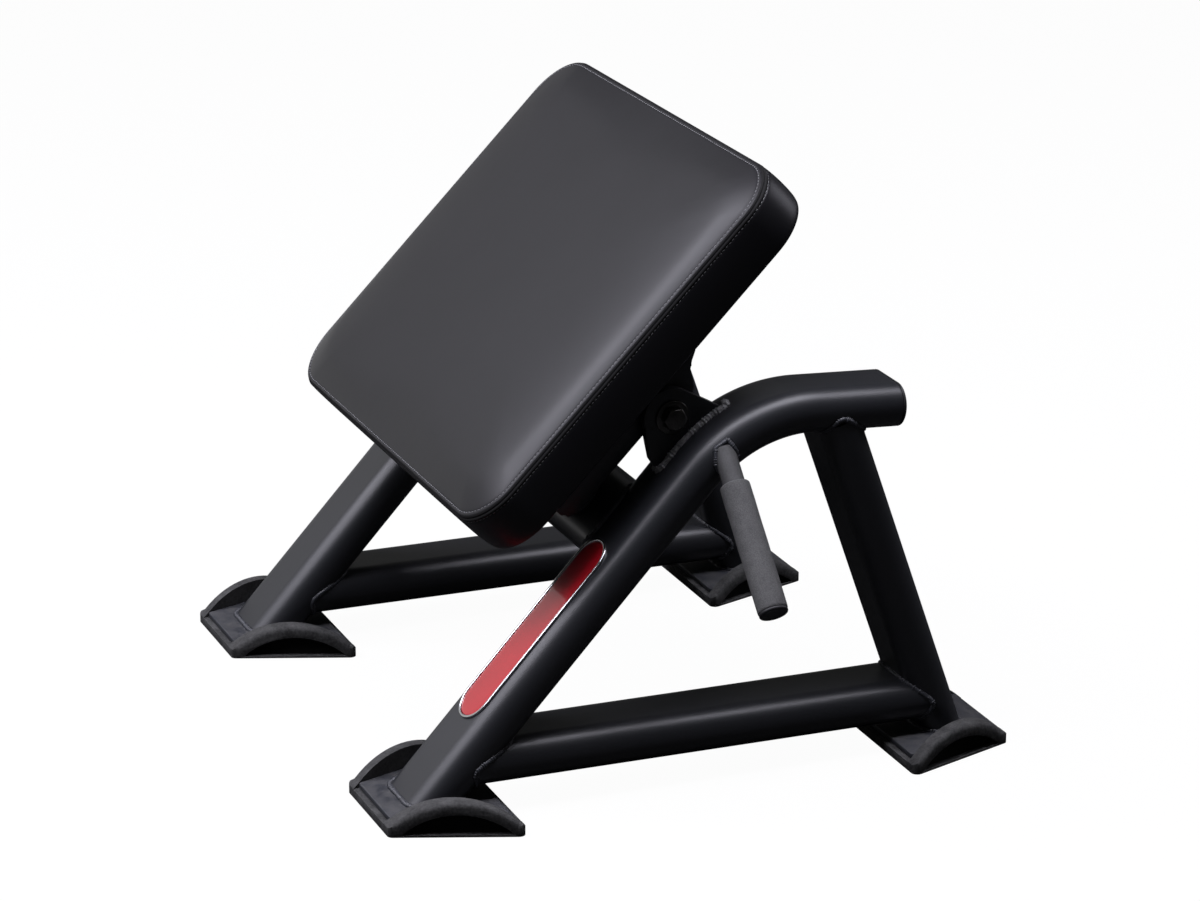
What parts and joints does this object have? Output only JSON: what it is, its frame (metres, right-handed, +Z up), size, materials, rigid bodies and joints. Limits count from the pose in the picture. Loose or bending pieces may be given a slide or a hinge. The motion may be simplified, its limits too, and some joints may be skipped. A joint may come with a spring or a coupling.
{
  "type": "hip thrust bench",
  "caption": "Low steel bench whose padded back rest tilts between two bent side frames, with a peg for exercise bands on each side and rubber feet.",
  "frame": {"origin": "middle of the bench's footprint on the floor", "axes": "+Z up, +Y from the front feet to the rear feet, +X to the right of someone standing in front of it and looking along +Y"},
  "size_m": [0.9718, 0.7506, 0.6873],
  "materials": {
    "charcoal_powder_coat": "satin charcoal black powder coat",
    "dark_bolt_steel": "dark zinc",
    "bush_bronze": "plain bearing bronze",
    "foot_rubber": "mottled matt black",
    "buffer_rubber": "matt black",
    "black_plastic": "satin black",
    "grip_sleeve": "rough textured black",
    "plate_silver": "polished silver",
    "plate_red": "red enamel, bare",
    "painted_plywood": "black painted plywood",
    "pad_vinyl": "smooth black vinyl-coated cloth, satin"
  },
  "bodies": {
    "frame": {"base_plate_front_left": "charcoal_powder_coat", "base_plate_front_right": "charcoal_powder_coat", "base_plate_rear_left": "charcoal_powder_coat", "base_plate_rear_right": "charcoal_powder_coat", "buffer_left": "buffer_rubber", "buffer_right": "buffer_rubber", "buffer_seat_left": "charcoal_powder_coat", "buffer_seat_right": "charcoal_powder_coat", "frame_cross_tube": "charcoal_powder_coat", "lower_tube_left": "charcoal_powder_coat", "lower_tube_right": "charcoal_powder_coat", "main_end_cap_left": "black_plastic", "main_end_cap_right": "black_plastic", "main_tube_left": "charcoal_powder_coat", "main_tube_right": "charcoal_powder_coat", "name_plate_inlay": "plate_red", "name_plate_rim": "plate_silver", "peg_bar_left": "charcoal_powder_coat", "peg_bar_right": "charcoal_powder_coat", "peg_plug_left": "black_plastic", "peg_plug_right": "black_plastic", "peg_sleeve_left": "grip_sleeve", "peg_sleeve_right": "grip_sleeve", "pivot_bolt_left": "dark_bolt_steel", "pivot_bolt_right": "dark_bolt_steel", "pivot_bracket_left": "charcoal_powder_coat", "pivot_bracket_right": "charcoal_powder_coat", "pivot_nut_left": "dark_bolt_steel", "pivot_nut_right": "dark_bolt_steel", "pivot_washer_left": "dark_bolt_steel", "pivot_washer_right": "dark_bolt_steel", "rear_leg_left": "charcoal_powder_coat", "rear_leg_right": "charcoal_powder_coat", "rubber_foot_front_left": "foot_rubber", "rubber_foot_front_right": "foot_rubber", "rubber_foot_rear_left": "foot_rubber", "rubber_foot_rear_right": "foot_rubber"},
    "pad": {"board_bolt_front_left": "dark_bolt_steel", "board_bolt_front_right": "dark_bolt_steel", "board_bolt_rear_left": "dark_bolt_steel", "board_bolt_rear_right": "dark_bolt_steel", "carrier_tube_front": "charcoal_powder_coat", "carrier_tube_rear": "charcoal_powder_coat", "pad_board": "painted_plywood", "pad_cushion": "pad_vinyl", "pad_side_plate_left": "charcoal_powder_coat", "pad_side_plate_right": "charcoal_powder_coat", "pivot_bush_left": "bush_bronze", "pivot_bush_right": "bush_bronze"}
  },
  "joints": [
    {"name": "pad_tilt", "type": "hinge", "parent": "frame", "child": "pad", "pos_m": [0, -0.01325, 0.416], "axis": [-1, 0, 0], "range_deg": [0, 45.6]}
  ]
}
